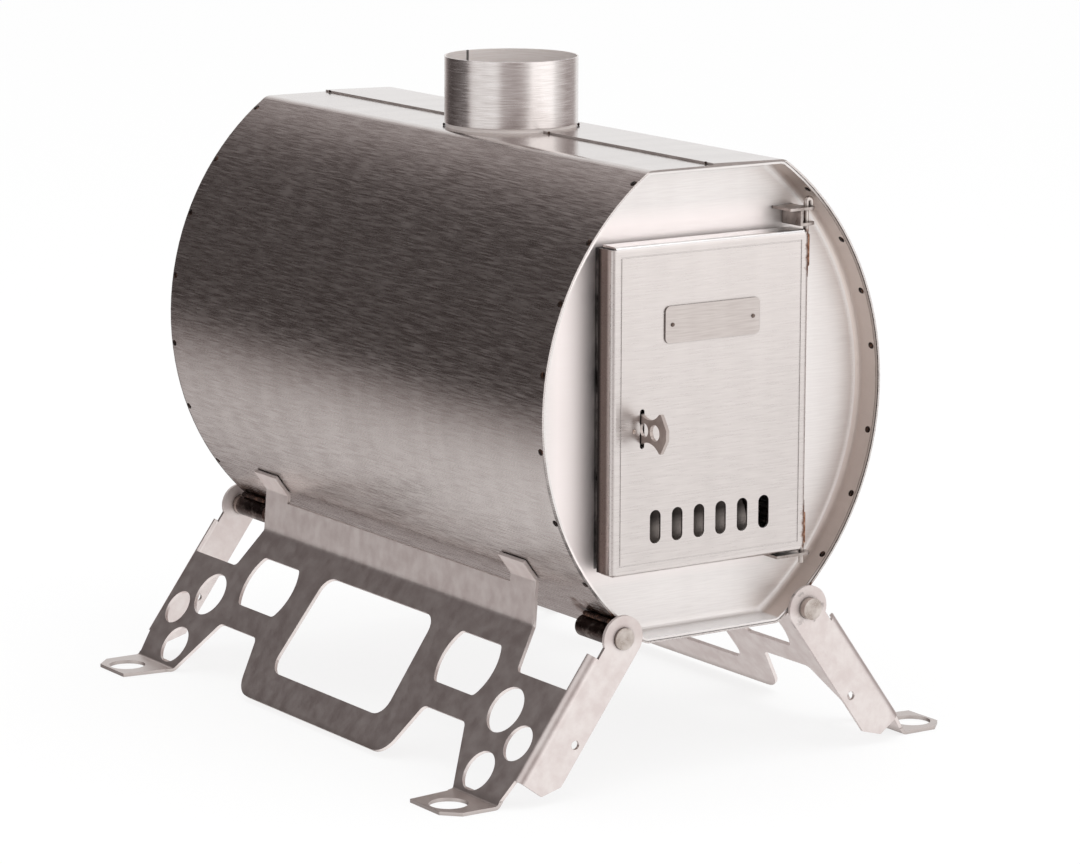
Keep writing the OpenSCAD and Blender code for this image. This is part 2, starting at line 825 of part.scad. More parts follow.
body_shell();
front_plate();
rear_plate();
flue_collar();
collar_welds();
seam_welds();
pivot_pin(-1, -1);  // front_left_pin
pivot_pin(1, -1);  // front_right_pin
pivot_pin(-1, 1);  // rear_left_pin
pivot_pin(1, 1);  // rear_right_pin
pin_welds();
left_leg();
right_leg();
upper_bracket();
lower_bracket();
door_panel();
upper_rod();
lower_rod();
rod_welds();
blank_plate();
plate_rivets();
air_deflector();
latch_spring();
latch_handle();
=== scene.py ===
# %% [markdown]
# # A tent wood stove in brushed stainless sheet
#
# The stove's construction is already solid: shell, end plates, door, legs and pins come in as a fixed
# frame, in metres, with the floor at z = 0 and the door towards -Y. Blender's share is the finish. Almost
# every surface here is the same steel, so what tells the pieces apart is how each sheet was rolled,
# brushed, bent and heated, and what it mirrors. The lesson goes from the camera over the metal and the
# small welds to the studio around the stove.

# %% The frame, and the box of the model before anything is added
import math

import bmesh
import bpy
from mathutils import Matrix, Vector


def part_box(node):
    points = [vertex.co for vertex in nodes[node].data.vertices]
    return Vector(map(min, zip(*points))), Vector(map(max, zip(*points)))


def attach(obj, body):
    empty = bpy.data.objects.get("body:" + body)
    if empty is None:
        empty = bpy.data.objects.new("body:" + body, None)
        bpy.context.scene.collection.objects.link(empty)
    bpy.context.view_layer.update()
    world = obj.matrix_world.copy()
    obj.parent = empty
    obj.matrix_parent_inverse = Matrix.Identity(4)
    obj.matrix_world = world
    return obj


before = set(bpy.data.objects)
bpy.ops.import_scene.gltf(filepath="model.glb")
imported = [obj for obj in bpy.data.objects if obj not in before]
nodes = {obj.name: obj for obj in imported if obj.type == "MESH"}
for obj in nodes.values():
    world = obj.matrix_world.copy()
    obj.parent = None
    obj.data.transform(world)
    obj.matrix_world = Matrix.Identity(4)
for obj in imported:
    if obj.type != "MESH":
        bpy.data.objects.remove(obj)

scene = bpy.context.scene
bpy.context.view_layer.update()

MM = 0.001

# %% [markdown]
# ## The camera
#
# A photograph fixes the camera before anything else, because every comparison depends on it. A camera
# could be nudged by eye until the outlines agree, but a finish is then matched in the wrong place. Here
# its place and angles were worked out from the stove's own straight edges. The lens follows from the
# picture's width and the length of its focus in pixels.

# %% Camera
PHOTO_WIDTH = 1080
FOCUS_PX = 4326.5
SENSOR_WIDTH = 36
CAMERA_PLACE = (-1.3471, -2.0370, 0.6386)
CAMERA_REACH = 50
TURN, PITCH, ROLL = (math.radians(a) for a in (33.759, 11.131, 0.194))


def place_camera():
    data = bpy.data.cameras.new("camera")
    data.sensor_width = SENSOR_WIDTH
    data.lens = FOCUS_PX / PHOTO_WIDTH * SENSOR_WIDTH
    data.clip_end = CAMERA_REACH
    camera = bpy.data.objects.new("camera", data)
    ahead = Vector((math.sin(TURN) * math.cos(PITCH), math.cos(TURN) * math.cos(PITCH), -math.sin(PITCH)))
    side = Vector((math.cos(TURN), -math.sin(TURN), 0))
    up = side.cross(ahead)
    right = math.cos(ROLL) * side + math.sin(ROLL) * up
    above = math.cos(ROLL) * up - math.sin(ROLL) * side
    turned = Matrix((right, above, -ahead)).transposed().to_4x4()
    camera.matrix_world = Matrix.Translation(CAMERA_PLACE) @ turned
    scene.collection.objects.link(camera)
    scene.camera = camera
    print("lens:", round(data.lens, 1), "mm")


place_camera()

# %% [markdown]
# ## Places on the stove
#
# The finishes change from place to place: dark oxide beside a weld, painted shadow round the door
# opening, a seam in the collar. Those places are read from the frame's own pieces, so that they stay with
# them.

# %% Places read from the frame
shell_low, shell_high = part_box("body_shell")
door_low, door_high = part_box("door_panel")
collar_low, collar_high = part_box("flue_collar")
plate_low, plate_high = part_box("front_plate")
pin_low, pin_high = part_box("front_right_pin")
rod_low, rod_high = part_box("upper_rod")

middle_y = (shell_low.y + shell_high.y) / 2
half_length = (shell_high.y - shell_low.y) / 2
pin_x = (pin_low.x + pin_high.x) / 2
pin_z = (pin_low.z + pin_high.z) / 2
collar_middle = (collar_low + collar_high) / 2
collar_radius = (collar_high.x - collar_low.x) / 2
axis_z = (plate_low.z + plate_high.z) / 2
print("shell length:", round(2 * half_length, 3), "pivots at x:", round(pin_x, 4), "z:", round(pin_z, 4))

# %% [markdown]
# ## Nodes and colours
#
# Materials are networks of nodes. One small function adds a node of any kind, sets its properties, fills
# its inputs in order or by name, and gives back one of its outputs, so a material reads as a list of
# steps. Three kinds come up all the time. Map Range takes a value, the range that it comes from and the
# range that it goes to. Math combines two numbers. Mix lies between two values, and it keeps its numbers
# in the sockets 2 and 3 and its colours in 6 and 7. Colours are written as the hex values that a painter
# would pick from the screen, and one function turns them to the linear values that light needs.

# %% Helpers for nodes


def linear(hex_colour):
    """Linear RGBA of an sRGB hex colour."""
    channels = [int(hex_colour[i:i + 2], 16) / 255 for i in (1, 3, 5)]
    return [c / 12.92 if c <= 0.04045 else ((c + 0.055) / 1.055) ** 2.4 for c in channels] + [1]


def add(tree, kind, inputs=(), out=0, **settings):
    """Adds a node and returns one of its outputs. Inputs are values, or sockets to link."""
    node = tree.nodes.new("ShaderNode" + kind)
    for name, value in settings.items():
        setattr(node, name, value)
    pairs = inputs.items() if isinstance(inputs, dict) else enumerate(inputs)
    for key, value in pairs:
        if isinstance(value, bpy.types.NodeSocket):
            tree.links.new(value, node.inputs[key])
        else:
            node.inputs[key].default_value = value
    return node.outputs[out] if node.outputs else None


def set_stops(colour_ramp, stops):
    """Gives a colour ramp its stops, each a position and a linear RGBA colour."""
    elements = colour_ramp.elements
    while len(elements) < len(stops):
        elements.new(0.5)
    for element, (position, colour) in zip(elements, stops):
        element.position = position
        element.color = colour


def new_material(name):
    material = bpy.data.materials.new(name)
    material.use_nodes = True
    material.node_tree.nodes.clear()
    return material, material.node_tree


print("screen grey #808080 in linear light:", round(linear("#808080")[0], 3))

# %% [markdown]
# ## Stains and painted light at a place
#
# The same sheet is clean in one place and burnt in another, and some places take painted light or shade.
# That could be painted on an image, but a place in millimetres stays sharp and moves with the frame. A
# point's coordinates and the way its face looks tell the places apart. A stain or a patch of painted light
# is then a soft-edged box: its mask is 1 inside and falls to 0 over a short distance, and a little noise
# in that distance makes the edge ragged. A noise seldom leaves the middle of its range, so that middle is
# what gets stretched.

# %% Masks
NOISE_RANGE = (0.3, 0.7)
PATCH_RANGE = (0.4, 0.6)
CLOUDY = {"Detail": 4, "Roughness": 0.6}
RAGGED_GRAIN = 6 * MM


def object_place(tree):
    return add(tree, "TexCoord", out="Object")


def coordinate(tree, axis):
    """One coordinate of a point, in metres."""
    return add(tree, "SeparateXYZ", (object_place(tree),), out=axis)


def facing(tree, axis):
    """How far a face looks along an axis, from -1 to 1."""
    return add(tree, "SeparateXYZ", (add(tree, "NewGeometry", out="Normal"),), out=axis)


def patches(tree, size, low, detail):
    """Uneven factor from a low value to 1, in patches of a size."""
    grains = add(tree, "TexNoise", {"Vector": object_place(tree), "Scale": 1 / size, "Detail": detail})
    return add(tree, "MapRange", (grains, *PATCH_RANGE, low, 1.0))


def box_mask(tree, place, low, high, fade, ragged=0.0, grain=RAGGED_GRAIN):
    """1 inside a box, and 0 beyond the fade outside it."""
    centre = [(a + b) / 2 for a, b in zip(low, high)]
    half = [(b - a) / 2 for a, b in zip(low, high)]
    moved = add(tree, "VectorMath", (place, centre), operation="SUBTRACT")
    away = add(tree, "VectorMath", (moved,), operation="ABSOLUTE")
    past = add(tree, "VectorMath", (away, half), operation="SUBTRACT")
    outside = add(tree, "VectorMath", (past, (0, 0, 0)), operation="MAXIMUM")
    distance = add(tree, "VectorMath", (outside,), out="Value", operation="LENGTH")
    if ragged:
        grains = add(tree, "TexNoise", {"Vector": place, "Scale": 1 / grain, **CLOUDY})
        uneven = add(tree, "MapRange", (grains, *NOISE_RANGE, -ragged, ragged))
        distance = add(tree, "Math", (distance, uneven), operation="ADD")
    return add(tree, "MapRange", (distance, 0.0, fade, 1.0, 0.0))


# %% [markdown]
# ## Stainless sheet
#
# A belt leaves scratches some centimetres long, all in one direction. One noise, stretched along the
# belt's way, gives them. It changes the colour a little and the roughness too: a rougher streak gathers
# light from farther round, so in a dark reflection it shows pale, and in an even one it nearly vanishes.
# A second noise, stretched across, gives the faint bands that the rolls left. A sheet that was only
# rolled is mottled. A short occlusion paints shade into creases, and a rounded normal lights up cut edges.

# %% Sheet steel
# Real scratches are a tenth of a millimetre wide. They are drawn as coarse as they need to show.
STREAK_LENGTH, STREAK_WIDTH = 15 * MM, 0.75 * MM
BAND_WIDTH, BAND_LENGTH = 16 * MM, 160 * MM
STREAK_SHARE = 0.7
MOTTLE = 9 * MM
COLOUR_RANGE = (0.36, 0.64)
SCRATCH_DEPTH = 0.3 * MM
EDGE_ROUND = 0.25 * MM
CREASE_SHADE_REACH = 3 * MM
CREASE_SHADE_RANGE = (0.35, 0.85)
CREASE_SHADE_COLOUR = linear("#120d0c")


def sheet_pattern(tree, place, grain):
    """The streaks, and a mix of the streaks with the bands."""
    if not grain:
        mottled = add(tree, "TexNoise", {"Vector": place, "Scale": 1 / MOTTLE, **CLOUDY})
        return mottled, mottled
    layers = []
    for along, across in ((STREAK_LENGTH, STREAK_WIDTH), (BAND_WIDTH, BAND_LENGTH)):
        scale = [1 / (along if axis == grain else across) for axis in "xyz"]
        stretched = add(tree, "Mapping", {"Vector": place, "Scale": scale})
        layers.append(add(tree, "TexNoise", {"Vector": stretched, "Scale": 1, "Detail": 2}))
    streaks, bands = layers
    return streaks, add(tree, "Mix", {0: STREAK_SHARE, 2: bands, 3: streaks}, data_type="FLOAT")


def steel(name, dark, light, roughness, grain=None, where=object_place, vary=0.1, bump=0.05, crease_shade=0.6,
          stains_and_painted_light=(), change=None):
    """Steel between two colours. Stains and painted light are (mask, colour), and change gives a factor on
    the roughness.
    """
    material, tree = new_material(name)
    streaks, mixed = sheet_pattern(tree, where(tree), grain)
    colour = add(tree, "ValToRGB", (mixed,))
    set_stops(colour.node.color_ramp, list(zip(COLOUR_RANGE, (linear(dark), linear(light)))))
    rough = add(tree, "MapRange", (streaks, *NOISE_RANGE, roughness - vary, roughness + vary))
    if change:
        rough = add(tree, "Math", (rough, change(tree)), operation="MULTIPLY")
    # Painted shade: a short occlusion darkens the colour in creases and gaps.
    if crease_shade:
        hidden = add(tree, "AmbientOcclusion", {"Distance": CREASE_SHADE_REACH}, out="AO", samples=6)
        clear = add(tree, "MapRange", (hidden, *CREASE_SHADE_RANGE, 1 - crease_shade, 1.0))
        colour = add(tree, "Mix", {0: clear, 6: CREASE_SHADE_COLOUR, 7: colour}, out=2, data_type="RGBA")
    # Stains, and patches of painted light and shade, laid over the colour.
    for mask, mark_colour in stains_and_painted_light:
        colour = add(tree, "Mix", {0: mask(tree), 6: colour, 7: linear(mark_colour)}, out=2, data_type="RGBA")
    rounded = add(tree, "Bevel", {"Radius": EDGE_ROUND}, samples=4)
    relief = add(tree, "Bump", {"Strength": bump, "Distance": SCRATCH_DEPTH, "Height": streaks,
                                "Normal": rounded})
    shader = add(tree, "BsdfPrincipled", {"Base Color": colour, "Metallic": 1.0, "Roughness": rough,
                                          "Normal": relief})
    add(tree, "OutputMaterial", {"Surface": shader})
    print("material:", name, "nodes:", len(tree.nodes))
    return material


# %% [markdown]
# ## Heat beside the pins
#
# The pins are welded along the shell, and welding leaves a dark oxide with a brown fringe on the pin and
# on the sheet beside it. The stove is the same at its four pivots, so one box stains them all: it lies in
# folded coordinates, in which left and right, and front and rear, share one side.

# %% Heat of the pins' welds
PIN_ROOM = 7 * MM
PIN_FRONT = 1 * MM
WELD_REACH = 30 * MM


def folded_place(tree):
    """Distance sideways, distance from the middle along the body, and height."""
    moved = add(tree, "VectorMath", (object_place(tree), (0, middle_y, 0)), operation="SUBTRACT")
    return add(tree, "VectorMath", (moved,), operation="ABSOLUTE")


def beside_pins(spill, fade, ragged):
    """Mask of the stretch of the pivots that lies beside the shell."""
    low = (pin_x - PIN_ROOM - spill, half_length - WELD_REACH - spill, pin_z - PIN_ROOM - spill)
    high = (pin_x + PIN_ROOM + spill, half_length - PIN_FRONT, pin_z + PIN_ROOM + spill)
    return lambda tree: box_mask(tree, folded_place(tree), low, high, fade, ragged)


# %% [markdown]
# ## The shell
#
# The shell is one sheet, rolled and lapped on top, and it was brushed along its length. A UV map could
# carry the streaks, but they run along Y all round, so object coordinates do it without one. The flat top
# was never bent and mirrors more than the curved sides do, so the roughness follows the way a face looks.
# The lap's cut edge on top was never brushed and is matt. The cut edge at both ends is darker at the
# lower left.

# %% Shell
FLAT_SHARE = 0.55
FLAT_FACING = (0.9, 0.99)
CUT_SHARE = 3.4
CUT_FACING = (0.3, 0.5)
LAP_HEIGHT = (shell_high.z - 2.2 * MM, shell_high.z - 1.8 * MM)
END_EDGE = (half_length - 1.5 * MM, half_length - 0.8 * MM)
LEFT_SIDE = (-80 * MM, -50 * MM)
DARK_ENDS_TOP = (axis_z - 60 * MM, axis_z)
DARK_ENDS_GRAIN = 9 * MM
DARK_ENDS_STRENGTH, DARK_ENDS_LEAST = 0.9, 0.6


def flat_top(tree):
    """Factor on the roughness, by the way a face looks and by its height."""
    upwards = facing(tree, "Z")
    sheet = add(tree, "MapRange", (upwards, *FLAT_FACING, 1.0, FLAT_SHARE))
    cut = add(tree, "MapRange", (upwards, *CUT_FACING, CUT_SHARE, 0.0))
    lap = add(tree, "MapRange", (coordinate(tree, "Z"), *LAP_HEIGHT, 0.0, 1.0))
    lap_edge = add(tree, "Math", (cut, lap), operation="MULTIPLY")
    return add(tree, "Math", (sheet, lap_edge), operation="ADD")


# Darker at the lower left of the shell's cut ends, in uneven patches.
def darker_lower_left_ends(tree):
    along = add(tree, "SeparateXYZ", (folded_place(tree),), out="Y")
    edge = add(tree, "MapRange", (along, *END_EDGE, 0.0, 1.0))
    below = add(tree, "MapRange", (coordinate(tree, "Z"), *DARK_ENDS_TOP, DARK_ENDS_STRENGTH, 0.0))
    left = add(tree, "MapRange", (coordinate(tree, "X"), *LEFT_SIDE, 1.0, 0.0))
    corner = add(tree, "Math", (below, left), operation="MULTIPLY")
    lower_edge = add(tree, "Math", (edge, corner), operation="MULTIPLY")
    uneven = patches(tree, DARK_ENDS_GRAIN, DARK_ENDS_LEAST, detail=3)
    return add(tree, "Math", (lower_edge, uneven), operation="MULTIPLY")


# The strongest streaks of all the sheets: its dark reflections break up into them along the body.
shell_steel = steel(
    "brushed_stainless_shell", "#bab2af", "#cfc8c5", 0.28, "y", vary=0.08, bump=0.04, crease_shade=0,
    change=flat_top,
    stains_and_painted_light=[(darker_lower_left_ends, "#2e2624"),
            (beside_pins(spill=4 * MM, fade=7 * MM, ragged=5 * MM), "#6d4f40"),
            (beside_pins(spill=1 * MM, fade=4 * MM, ragged=4 * MM), "#2b211f")])

# %% [markdown]
# ## The end plates
#
# The end plates are pressed dishes with a proud rim, brushed across and fairly matt. The rim's right side
# mirrors the door, painted as a warm reflection, its lowest stretch gets a painted highlight, and its cut
# edge on the right is dull. The plate is lightened with painted light beside the door and above it. The
# lip round the opening sits in shadow behind the door, and that shadow is painted almost black on it.

# %% End plates
RIM_SIDE = (-0.3, -0.6)
RIM_FLOOR = (0.85, 0.98)
PLATE_EDGE = (plate_low.y + 0.3 * MM, plate_low.y + 0.8 * MM)
EDGE_DULLNESS = 0.9
RIGHT_SIDE = (50 * MM, 75 * MM)
LIT_LEFT = 22 * MM
LIT_RIGHT = 20 * MM
LIT_TOP = 8 * MM
LIT_FADE = 10 * MM
LIP_IN = 2.2 * MM
LIP_RIGHT = 4 * MM
LIP_FRONT = 20 * MM
LIP_ROOT = 1.3 * MM
LIP_FADE = 0.6 * MM
LIP_SHADOW_GRAIN = 12 * MM
LIP_SHADOW_LEAST = 0.8


# Painted reflection: a warm tint where the rim faces the door.
def rim_painted_reflection(tree):
    return add(tree, "MapRange", (facing(tree, "X"), *RIM_SIDE, 0.0, 1.0))


# Painted highlight: white on the rim's upward faces.
def rim_floor_painted_highlight(tree):
    return add(tree, "MapRange", (facing(tree, "Z"), *RIM_FLOOR, 0.0, 1.0))


def right_edge(tree):
    edge = add(tree, "MapRange", (coordinate(tree, "Y"), *PLATE_EDGE, EDGE_DULLNESS, 0.0))
    right = add(tree, "MapRange", (coordinate(tree, "X"), *RIGHT_SIDE, 0.0, 1.0))
    return add(tree, "Math", (edge, right), operation="MULTIPLY")


# Painted light: the plate is lightened beside the door and above it.
def painted_light_beside_door(tree):
    low = (door_low.x - LIT_LEFT, plate_low.y, door_low.z)
    high = (door_high.x - LIT_RIGHT, plate_high.y, door_high.z + LIT_TOP)
    return box_mask(tree, object_place(tree), low, high, LIT_FADE)


# Painted shadow: the lip behind the door is darkened almost black.
def lip_painted_shadow(tree):
    low = (door_low.x + LIP_IN, door_low.y - LIP_FRONT, door_low.z + LIP_IN)
    high = (door_high.x - LIP_RIGHT, plate_high.y - LIP_ROOT, door_high.z - LIP_IN)
    lip = box_mask(tree, object_place(tree), low, high, LIP_FADE)
    uneven = patches(tree, LIP_SHADOW_GRAIN, LIP_SHADOW_LEAST, detail=4)
    return add(tree, "Math", (lip, uneven), operation="MULTIPLY")


# The palest and mattest sheet: it hardly mirrors, so the door stands out before it.
plate_steel = steel(
    "brushed_stainless_plate", "#dfdad8", "#e8e4e2", 0.52, "x", vary=0.04, bump=0.02, crease_shade=0.2,
    stains_and_painted_light=[(rim_painted_reflection, "#e0d4cd"), (rim_floor_painted_highlight, "#ffffff"), (right_edge, "#8a7d76"),
            (painted_light_beside_door, "#f7efed"), (lip_painted_shadow, "#15100e")])

# %% [markdown]
# ## The door
#
# The door is a folded tray, brushed across. It hangs on two rods that are welded to its edge, one at the
# top and one at the bottom, and both welds left brown oxide there. Heights are measured from the door's
# middle, so one box stains both. Its left return gets painted shade, brown over some millimetres and
# black at the rear. The upper return gets a painted highlight.

# %% Door
ROD_REACH = 24 * MM
ROD_SIDE = 1.2 * MM
ROD_FRONT = 5 * MM
ROD_END = 2 * MM
HEAT_FADE = 2.2 * MM
HEAT_RAGGED = 1.5 * MM
HEAT_GRAIN = 3 * MM
RETURN_OUT = 1 * MM
RETURN_IN = 0.6 * MM
UPWARDS = (0.3, 0.8)


def rod_heat(tree):
    """Brown oxide on the door's edge beside both rods' welds."""
    centre = (door_low.z + door_high.z) / 2
    half = (door_high.z - door_low.z) / 2
    moved = add(tree, "VectorMath", (object_place(tree), (0, 0, centre)), operation="SUBTRACT")
    level = add(tree, "VectorMath", (moved, (1, 1, 0)), operation="MULTIPLY")
    upright = add(tree, "VectorMath", (moved, (0, 0, 1)), operation="MULTIPLY")
    height = add(tree, "VectorMath", (upright,), operation="ABSOLUTE")
    place = add(tree, "VectorMath", (level, height), operation="ADD")
    low = (rod_low.x - ROD_SIDE, door_low.y - ROD_FRONT, half - ROD_REACH)
    high = (rod_high.x, door_high.y, half - ROD_END)
    return box_mask(tree, place, low, high, HEAT_FADE, HEAT_RAGGED, HEAT_GRAIN)


# Painted shade: brown, and black at the rear, on the door's left return.
def left_return_painted_shade(depth, fade):
    """Mask of painted shade on the left return's rear, over a depth."""
    low = (door_low.x - RETURN_OUT, door_high.y - depth, door_low.z - RETURN_OUT)
    high = (door_low.x + RETURN_IN, door_high.y + RETURN_OUT, door_high.z + RETURN_OUT)
    return lambda tree: box_mask(tree, object_place(tree), low, high, fade)


# Painted highlight: white on the door's upward faces.
def upper_return_painted_highlight(tree):
    return add(tree, "MapRange", (facing(tree, "Z"), *UPWARDS, 0.0, 1.0))


# Calm and even, so the door reads as one flat panel.
door_steel = steel(
    "brushed_stainless_door", "#c8c1be", "#d1cac7", 0.3, "x", vary=0.04, bump=0.02, crease_shade=0.4,
    stains_and_painted_light=[(upper_return_painted_highlight, "#ffffff"),
            (left_return_painted_shade(depth=8 * MM, fade=3 * MM), "#70645f"),
            (left_return_painted_shade(depth=1.5 * MM, fade=2.2 * MM), "#1a1311"),
            (rod_heat, "#7d5643")])

# %% [markdown]
# ## The flue collar
#
# The collar was brushed round and round. A straight grain would cut through such a ring, so it gets its
# own coordinates: the way round, which starts at the butt seam, and the height. The seam is a narrow dark
# line at the start of that way. The inner wall was never brushed, so it stayed matt, and painted light
# makes it pale.

# %% Flue collar
SEAM_ANGLE = math.radians(99)
SEAM_WIDTH = 1.2 * MM
SEAM_DARKNESS = 0.8
WALL_MIDDLE = (collar_radius - 0.6 * MM, collar_radius - 0.2 * MM)
MATT_SHARE = 3.6


def from_collar(tree):
    """A point as seen from the collar's middle."""
    return add(tree, "VectorMath", (object_place(tree), collar_middle), operation="SUBTRACT")


def collar_place(tree):
    """The way round the collar, and the height."""
    turned = add(tree, "VectorRotate", {"Vector": from_collar(tree), "Angle": math.pi - SEAM_ANGLE},
                 rotation_type="Z_AXIS")
    x, y, z = (add(tree, "SeparateXYZ", (turned,), out=axis) for axis in "XYZ")
    angle = add(tree, "Math", (y, x), operation="ARCTAN2")
    way = add(tree, "Math", (angle, collar_radius), operation="MULTIPLY")
    return add(tree, "CombineXYZ", {"X": way, "Z": z})


def collar_inside(tree):
    """1 on the inner wall, by the distance from the collar's axis."""
    level = add(tree, "VectorMath", (from_collar(tree), (1, 1, 0)), operation="MULTIPLY")
    distance = add(tree, "VectorMath", (level,), out="Value", operation="LENGTH")
    return add(tree, "MapRange", (distance, *WALL_MIDDLE, 1.0, 0.0))


def matt_inside(tree):
    return add(tree, "MapRange", (collar_inside(tree), 0.0, 1.0, 1.0, MATT_SHARE))


def collar_seam(tree):
    way = add(tree, "SeparateXYZ", (collar_place(tree),), out="X")
    past = add(tree, "Math", (way,), operation="ABSOLUTE")
    short = add(tree, "Math", (math.pi * collar_radius, past), operation="SUBTRACT")
    return add(tree, "MapRange", (short, SEAM_WIDTH / 2, SEAM_WIDTH, SEAM_DARKNESS, 0.0))


# The smoothest sheet, so that the collar shows the surroundings in upright bands.
# The pale colour of the inner wall is painted light.
collar_steel = steel(
    "brushed_stainless_collar", "#cdc6c3", "#e6e1df", 0.24, "x", where=collar_place, vary=0.05, bump=0.03,
    crease_shade=0, change=matt_inside, stains_and_painted_light=[(collar_inside, "#f4f0ee"), (collar_seam, "#4c4340")])

# %% [markdown]
# ## The legs
#
# Each leg is one sheet, cut and bent but never brushed, so it has a mottle in place of a grain. The
# upright flange along its top was sanded and is matter than the slanting plate below it, and the ground
# has dulled the feet. Both go by the height alone. It is the height in the leg's own mesh, so the finish
# stays with the leg when it folds.

# %% Legs
FLANGE_SHARE = 1.7
FLANGE_HEIGHT = (pin_z - 4 * MM, pin_z)
FOOT_TOP = (3 * MM, 6 * MM)
FOOT_DULLNESS = 0.7


def matt_flange(tree):
    return add(tree, "MapRange", (coordinate(tree, "Z"), *FLANGE_HEIGHT, 1.0, FLANGE_SHARE))


def foot_wear(tree):
    return add(tree, "MapRange", (coordinate(tree, "Z"), *FOOT_TOP, FOOT_DULLNESS, 0.0))


# Soft, cloudy reflections, which keep the slanting plate dark and the arms pale.
leg_steel = steel(
    "rolled_stainless_leg", "#d4c9c6", "#dfd7d4", 0.39, vary=0.03, bump=0.02, change=matt_flange,
    stains_and_painted_light=[(foot_wear, "#b3aaa6"),
            (beside_pins(spill=1 * MM, fade=3 * MM, ragged=2 * MM), "#2b211f")])

# %% [markdown]
# ## Small sheet pieces
#
# The latch and the hinge brackets were cut from plain rolled sheet, the plate on the door was brushed
# satin, and the deflector behind the air slots was left as it came. That deflector sees the bright floor
# below the slots' middle and only the dark firebox above, and that shade is painted black on its upper
# part.

# %% Latch, brackets, plate and deflector
SLOT_MIDDLE = axis_z - 64 * MM
SLOT_SHADE = (SLOT_MIDDLE - 8 * MM, SLOT_MIDDLE + 3 * MM)
SHADE_STRENGTH = 0.9


# Painted shade: black on the deflector above the slots' middle.
def painted_shade_behind_slots(tree):
    return add(tree, "MapRange", (coordinate(tree, "Z"), *SLOT_SHADE, 0.0, SHADE_STRENGTH))


# A little darker than the door behind it, as painted shade.
latch_steel = steel("cut_stainless_latch", "#a69a95", "#b6aba6", 0.3, vary=0.03, bump=0.02)
# Darker than the other sheets, with painted shade in the bends.
bracket_steel = steel("rolled_stainless_bracket", "#8d837e", "#bdb4af", 0.3, vary=0.05, crease_shade=0.9)
# Satin, so that it shows as a greyer patch on the door.
tag_steel = steel("satin_tag", "#b9b0ac", "#c8c0bc", 0.42, "x", vary=0.04, bump=0.02, crease_shade=0.8)
# Dull, with painted shade black in its upper part.
deflector_steel = steel("inner_steel", "#a39a95", "#b3aaa5", 0.45, "x", crease_shade=0.5,
                        stains_and_painted_light=[(painted_shade_behind_slots, "#1c1614")])

# %% [markdown]
# ## Rivets, pins and rods
#
# These were drawn as bar and wire, whose skin is coarser than that of sheet. The pins are the thickest
# and show it most, so their bump is strong. The rods keep the lines of the die along their length.

# %% Rivets, pins and rods
# Dull brown heads, with painted shade round their foot.
rivet_steel = steel("dull_rivet", "#6b5d57", "#8b7d76", 0.4, vary=0.05, crease_shade=0.9)
# Lumpy highlights, and burnt where the pin lies along the shell.
bar_steel = steel(
    "drawn_bar", "#a3978f", "#cbc2bc", 0.3, vary=0.08, bump=0.5,
    stains_and_painted_light=[(beside_pins(spill=2 * MM, fade=1 * MM, ragged=0.5 * MM), "#3a2c28")])
# Bright upright lines, brown beside the welds.
rod_steel = steel("drawn_rod", "#b5aca6", "#cfc7c2", 0.28, "z", vary=0.05, stains_and_painted_light=[(rod_heat, "#6f4534")])

# %% [markdown]
# ## Weld metal
#
# A weld bead sets in ripples, one for each small step of the torch. Bands across the bead give the
# ripples, and noise gives the slag. The colours run from blue-black over brown to straw. Blender's wave
# repeats itself 20 times in a length of tau, which turns the width of a ripple into its scale.

# %% Weld metal
RIPPLE = 1.7 * MM
RIPPLE_SHARE = 0.5
WAVES_IN_TAU = 20
LUMP = 2.5 * MM
BEAD_RELIEF = 0.8 * MM
BEAD_BUMP = 0.9
BEAD_RANGE = (0.36, 0.52, 0.68)
BEAD_ROUGHNESS = 0.42


def weld(name, *colours):
    """Weld metal in three hex colours, from the hollows to the tops."""
    material, tree = new_material(name)
    place = object_place(tree)
    lumps = add(tree, "TexNoise", {"Vector": place, "Scale": 1 / LUMP, "Detail": 5, "Roughness": 0.65})
    waves = add(tree, "TexWave", {"Vector": place, "Scale": math.tau / WAVES_IN_TAU / RIPPLE,
                                  "Distortion": 2.0, "Detail": 2.0}, out="Fac", bands_direction="Y")
    ripples = add(tree, "Math", (waves, RIPPLE_SHARE), operation="MULTIPLY")
    height = add(tree, "Math", (ripples, lumps), operation="ADD")
    relief = add(tree, "Bump", {"Strength": BEAD_BUMP, "Distance": BEAD_RELIEF, "Height": height})
    colour = add(tree, "ValToRGB", (lumps,))
    set_stops(colour.node.color_ramp, list(zip(BEAD_RANGE, map(linear, colours))))
    shader = add(tree, "BsdfPrincipled", {"Base Color": colour, "Metallic": 1.0,
                                          "Roughness": BEAD_ROUGHNESS, "Normal": relief})
    add(tree, "OutputMaterial", {"Surface": shader})
    print("material:", name, "nodes:", len(tree.nodes))
    return material


# Nearly black beads, which draw a dotted line round the collar and along the lap.
dark_weld = weld("heat_tinted_weld", "#1f1918", "#43332e", "#8b6a58")
# Warm brown beads on the door's edge.
rust_weld = weld("straw_tinted_weld", "#4d3328", "#8f6650", "#cdb5a6")
# Black dots, in a row round each end.
burnt_spot = weld("burnt_spot_weld", "#120d0c", "#2b211e", "#6b4c3c")
# A pale, warm glint.
straw_pip = weld("straw_tinted_pip", "#8a7264", "#b9a89e", "#e0d8d3")

# %% [markdown]
# ## Each piece gets its finish
#
# The frame's meshes stay as they are. Each only takes one material, by the name of its piece.

